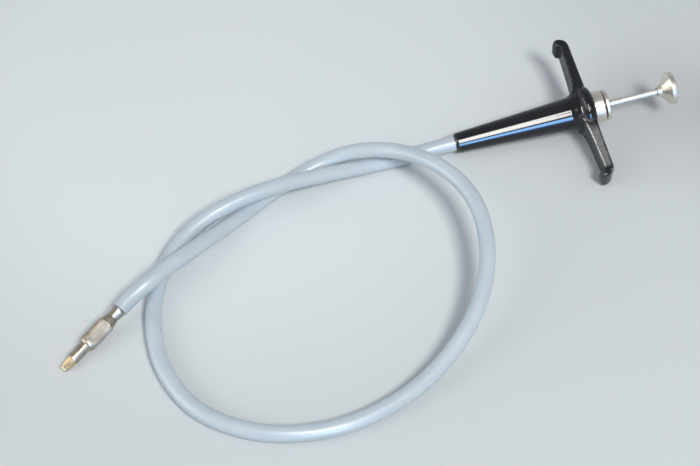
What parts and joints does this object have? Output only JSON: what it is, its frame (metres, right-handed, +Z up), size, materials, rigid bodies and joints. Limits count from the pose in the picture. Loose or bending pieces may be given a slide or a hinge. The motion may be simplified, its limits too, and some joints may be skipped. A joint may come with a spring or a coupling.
{
  "type": "cable shutter release",
  "caption": "Mechanical camera shutter release: winged enamel handle with a sprung plunger and lock disc, a looped sheathed cable, and a swivelling threaded tip with a push pin.",
  "frame": {"origin": "on the table under the centre of the handle with its plunger, as it lies", "axes": "+Z up from the table; the plunger's button points towards +X and a little towards +Y; the cable runs towards -X and loops towards -Y"},
  "size_m": [0.2126, 0.1602, 0.0212],
  "materials": {
    "enamel": "glossy black enamel, worn at the edges",
    "nickel": "polished nickel plate",
    "worn_nickel": "dulled nickel plate",
    "steel": "bright steel",
    "brass": "turned brass",
    "sheath": "satin pale blue-grey plastic sheath"
  },
  "bodies": {
    "handle": {"handle_body": "enamel", "cable_socket": "brass", "end_bush": "nickel", "lock_retainer": "steel", "spring_seat": "brass", "return_spring": "steel", "lock_spring": "steel", "cable_sheath": "sheath", "cable_conduit": "steel", "core_wire": "steel", "tip_ferrule": "worn_nickel", "swivel_ring": "steel"},
    "plunger": {"plunger_rod": "steel", "plunger_button": "nickel", "piston": "brass", "wire_head": "brass"},
    "lock": {"lock_disc": "nickel"},
    "plate": {"lock_plate": "steel"},
    "swivel": {"tip_body": "worn_nickel"},
    "pin": {"tip_pin": "steel"}
  },
  "joints": [
    {"name": "plunger_slide", "type": "slide", "parent": "handle", "child": "plunger", "axis": [-0.9678, -0.2165, -0.1283], "range_m": [0, 0.014], "stiffness_N_per_m": 250, "springref_m": -0.004, "deforming": ["return_spring", "core_wire"]},
    {"name": "pin_slide", "type": "slide", "parent": "handle", "child": "pin", "axis": [-0.6284, -0.7566, -0.1811], "range_m": [0, 0.014]},
    {"name": "tip_swivel", "type": "hinge", "parent": "handle", "child": "swivel", "pos_m": [-0.16075, -0.09252, 0.00439], "axis": [-0.6284, -0.7566, -0.1811], "continuous": true},
    {"name": "lock_press", "type": "slide", "parent": "handle", "child": "lock", "axis": [-0.9678, -0.2165, -0.1283], "range_m": [0, 0.0003], "stiffness_N_per_m": 800, "springref_m": -0.001, "deforming": ["lock_spring"]},
    {"name": "plate_square", "type": "hinge", "parent": "handle", "child": "plate", "pos_m": [0.00501, -0.00059, 0.0134], "axis": [-0.2406, 0.9455, 0.2193], "range_deg": [0, 3.7]}
  ],
  "couplings": [
    {"joint": "pin_slide", "follows": "plunger_slide", "ratio": 1},
    {"joint": "plate_square", "follows": "lock_press", "rad_per_m": 215}
  ]
}
